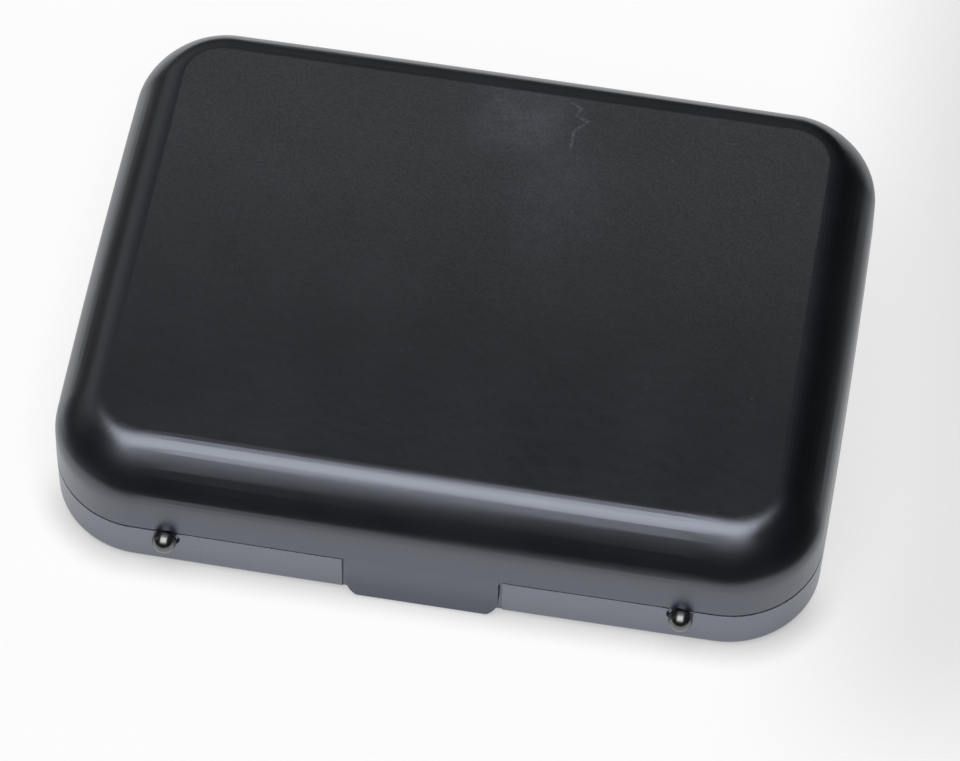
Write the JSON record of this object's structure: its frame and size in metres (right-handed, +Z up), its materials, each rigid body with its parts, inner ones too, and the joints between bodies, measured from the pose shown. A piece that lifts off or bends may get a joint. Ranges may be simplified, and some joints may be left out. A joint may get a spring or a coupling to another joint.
{
  "type": "fly box",
  "caption": "Flat pocket box with a domed hinged lid, front snap tab, rim seal and rows of slit foam that hold fishing flies.",
  "frame": {"origin": "centre of the base's underside, on the surface it lies on", "axes": "+X along the width to the right seen from the front, -Y towards the snap tab, +Y towards the hinges, +Z up"},
  "size_m": [0.15, 0.1205, 0.031],
  "materials": {
    "shell": "satin",
    "stud": "gloss",
    "pin": "satin",
    "seal": "matte",
    "liner": "matte",
    "foam": "matte"
  },
  "bodies": {
    "base": {"base_shell": "shell", "hinge_pin_left": "pin", "hinge_pin_right": "pin", "snap_stud_left": "stud", "snap_stud_right": "stud", "base_liner": "liner", "base_foam_row_1": "foam", "base_foam_row_2": "foam", "base_foam_row_3": "foam", "base_foam_row_4": "foam", "base_foam_row_5": "foam", "base_foam_row_6": "foam", "base_foam_row_7": "foam", "base_foam_row_8": "foam", "base_foam_row_9": "foam", "base_foam_row_10": "foam"},
    "lid": {"lid_shell": "shell", "rim_seal": "seal", "lid_liner": "liner", "lid_foam_row_1": "foam", "lid_foam_row_2": "foam", "lid_foam_row_3": "foam", "lid_foam_row_4": "foam", "lid_foam_row_5": "foam", "lid_foam_row_6": "foam", "lid_foam_row_7": "foam", "lid_foam_row_8": "foam", "lid_foam_row_9": "foam"}
  },
  "joints": [
    {"name": "lid_hinge", "type": "hinge", "parent": "base", "child": "lid", "pos_m": [0, 0.0589, 0.011], "axis": [-1, 0, 0], "range_deg": [0, 140]}
  ]
}
